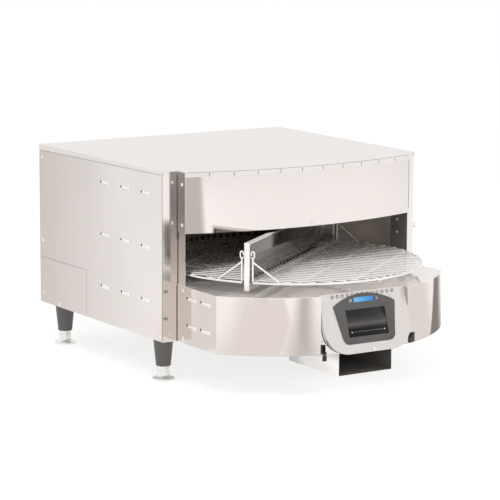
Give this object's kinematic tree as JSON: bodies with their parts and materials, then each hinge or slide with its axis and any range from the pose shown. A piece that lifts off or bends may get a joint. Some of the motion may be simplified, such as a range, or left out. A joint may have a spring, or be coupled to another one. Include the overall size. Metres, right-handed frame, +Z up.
{
  "type": "rotating table oven",
  "caption": "Countertop hot-air oven with a bowed hood over a round wire table, a divider that shuts off the baking half, a rounded front bay with a touch screen, and adjustable legs.",
  "frame": {"origin": "on the counter, under the middle of the part's box", "axes": "+Z up, -Y towards the person who loads the table, +X to that person's right"},
  "size_m": [0.7745, 0.9986, 0.532],
  "materials": {
    "stainless": "fine satin grain",
    "cover_steel": "fine satin grain",
    "inner_steel": "plain mill finish",
    "chamber_steel": "heat darkened",
    "duct_metal": "satin",
    "wire_plating": "bright plated wire",
    "polished_steel": "polished",
    "machined_steel": "machined",
    "insulation_wool": "matte wool",
    "motor_paint": "satin paint",
    "wheel_metal": "plain",
    "heater_sheath": "oxidised",
    "electrics": "matte",
    "black_plastic": "matte",
    "rocker_plastic": "gloss",
    "housing_paint": "satin",
    "bezel_plastic": "fine matte",
    "screen_black": "gloss",
    "display_blue": "gloss",
    "board_green": "matte",
    "leg_grey": "satin",
    "foot_metal": "satin"
  },
  "bodies": {
    "oven": {"base_pan": "inner_steel", "left_side_panel": "stainless", "right_side_panel": "stainless", "left_pillar": "stainless", "right_pillar": "stainless", "rear_panel": "stainless", "top_cover": "cover_steel", "access_cover": "stainless", "fascia": "stainless", "soffit_panel": "chamber_steel", "left_jamb": "stainless", "right_jamb": "stainless", "chamber_wall": "chamber_steel", "upper_jet_plate": "chamber_steel", "lower_jet_plate": "chamber_steel", "upper_plenum": "inner_steel", "lower_plenum": "inner_steel", "blower_box": "inner_steel", "motor_bulkhead": "inner_steel", "insulation": "insulation_wool", "blower_motors": "motor_paint", "heaters": "heater_sheath", "power_supply": "electrics", "contactors": "electrics", "terminal_block": "electrics", "cord_inlet": "black_plastic", "side_spacer": "machined_steel", "panel_screws": "machined_steel", "bay_skin": "stainless", "bay_deck": "stainless", "bay_floor": "inner_steel", "intake_duct": "duct_metal", "fan_frame": "black_plastic", "drive_gearmotor": "motor_paint", "gearmotor_stand": "inner_steel", "table_bearing": "machined_steel", "control_housing": "housing_paint", "control_bezel": "bezel_plastic", "touch_screen": "screen_black", "status_display": "display_blue", "control_board": "board_green", "usb_port": "black_plastic", "switch_frame": "black_plastic", "leg_sleeves": "leg_grey"},
    "turntable": {"table_hub": "machined_steel", "table_spider": "machined_steel", "front_grate": "wire_plating", "rear_grate": "wire_plating", "grate_ears": "wire_plating", "divider_panel": "polished_steel", "divider_posts": "polished_steel"},
    "left_blower": {"left_blower_wheel": "wheel_metal"},
    "right_blower": {"right_blower_wheel": "wheel_metal"},
    "cooling_fan": {"fan_rotor": "black_plastic"},
    "rocker": {"power_rocker": "rocker_plastic"},
    "port_cap": {"usb_cap": "black_plastic"},
    "front_left_foot": {"front_left_foot": "foot_metal"},
    "front_right_foot": {"front_right_foot": "foot_metal"},
    "rear_left_foot": {"rear_left_foot": "foot_metal"},
    "rear_right_foot": {"rear_right_foot": "foot_metal"}
  },
  "joints": [
    {"name": "turntable_spin", "type": "hinge", "parent": "oven", "child": "turntable", "pos_m": [0, -0.14375, 0.259], "axis": [0, 0, 1], "continuous": true},
    {"name": "left_blower_spin", "type": "hinge", "parent": "oven", "child": "left_blower", "pos_m": [-0.15, 0.21537, 0.316], "axis": [0, 1, 0], "continuous": true},
    {"name": "right_blower_spin", "type": "hinge", "parent": "oven", "child": "right_blower", "pos_m": [0.15, 0.21537, 0.316], "axis": [0, 1, 0], "continuous": true},
    {"name": "cooling_fan_spin", "type": "hinge", "parent": "oven", "child": "cooling_fan", "pos_m": [0, -0.35875, 0.119], "axis": [0, 0, 1], "continuous": true},
    {"name": "power_rocker", "type": "hinge", "parent": "oven", "child": "rocker", "pos_m": [0.1448, -0.45953, 0.122], "axis": [-0.9438, -0.3305, 0], "range_deg": [0, 18]},
    {"name": "port_cap", "type": "hinge", "parent": "oven", "child": "port_cap", "pos_m": [-0.124, -0.47495, 0.1135], "axis": [-1, 0, 0], "range_deg": [0, 175]},
    {"name": "front_left_foot", "type": "slide", "parent": "oven", "child": "front_left_foot", "axis": [0, 0, -1], "range_m": [0, 0.025]},
    {"name": "front_right_foot", "type": "slide", "parent": "oven", "child": "front_right_foot", "axis": [0, 0, -1], "range_m": [0, 0.025]},
    {"name": "rear_left_foot", "type": "slide", "parent": "oven", "child": "rear_left_foot", "axis": [0, 0, -1], "range_m": [0, 0.025]},
    {"name": "rear_right_foot", "type": "slide", "parent": "oven", "child": "rear_right_foot", "axis": [0, 0, -1], "range_m": [0, 0.025]}
  ]
}
